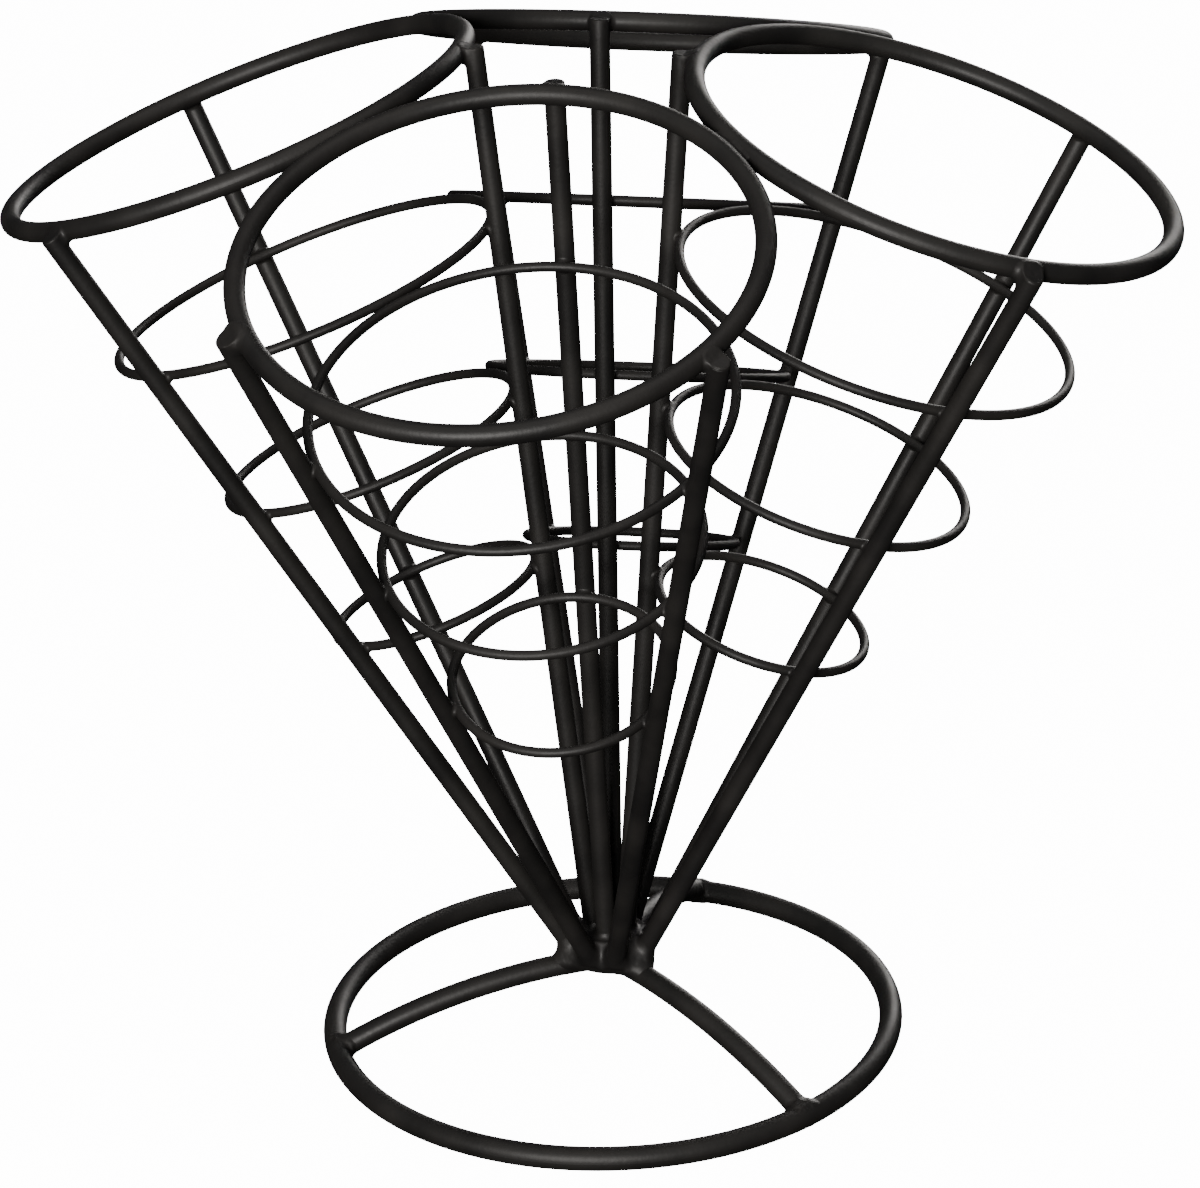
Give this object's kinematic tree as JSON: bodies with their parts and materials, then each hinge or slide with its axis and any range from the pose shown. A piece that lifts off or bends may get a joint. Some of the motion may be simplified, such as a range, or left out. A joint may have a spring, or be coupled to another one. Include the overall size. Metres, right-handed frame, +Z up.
{
  "type": "four-cone snack stand",
  "caption": "Black wire stand with leaning open wire cones that hold paper or wafer cones of snacks, on arched legs over a round base ring.",
  "frame": {"origin": "on the table, at the centre of the base ring", "axes": "+Z up along the stand's axis, -Y towards the front cone, +X towards the right cone"},
  "size_m": [0.2298, 0.2298, 0.2113],
  "materials": {
    "black_coat": "satin"
  },
  "bodies": {
    "root": {"base_ring": "black_coat", "leg_back": "black_coat", "leg_left": "black_coat", "leg_right": "black_coat", "hub_weld": "black_coat", "front_rim": "black_coat", "front_hoop_upper": "black_coat", "front_hoop_middle": "black_coat", "front_hoop_lower": "black_coat", "front_rod_inner": "black_coat", "front_rod_left": "black_coat", "front_rod_right": "black_coat", "right_rim": "black_coat", "right_hoop_upper": "black_coat", "right_hoop_middle": "black_coat", "right_hoop_lower": "black_coat", "right_rod_inner": "black_coat", "right_rod_left": "black_coat", "right_rod_right": "black_coat", "back_rim": "black_coat", "back_hoop_upper": "black_coat", "back_hoop_middle": "black_coat", "back_hoop_lower": "black_coat", "back_rod_inner": "black_coat", "back_rod_left": "black_coat", "back_rod_right": "black_coat", "left_rim": "black_coat", "left_hoop_upper": "black_coat", "left_hoop_middle": "black_coat", "left_hoop_lower": "black_coat", "left_rod_inner": "black_coat", "left_rod_left": "black_coat", "left_rod_right": "black_coat"}
  },
  "joints": []
}
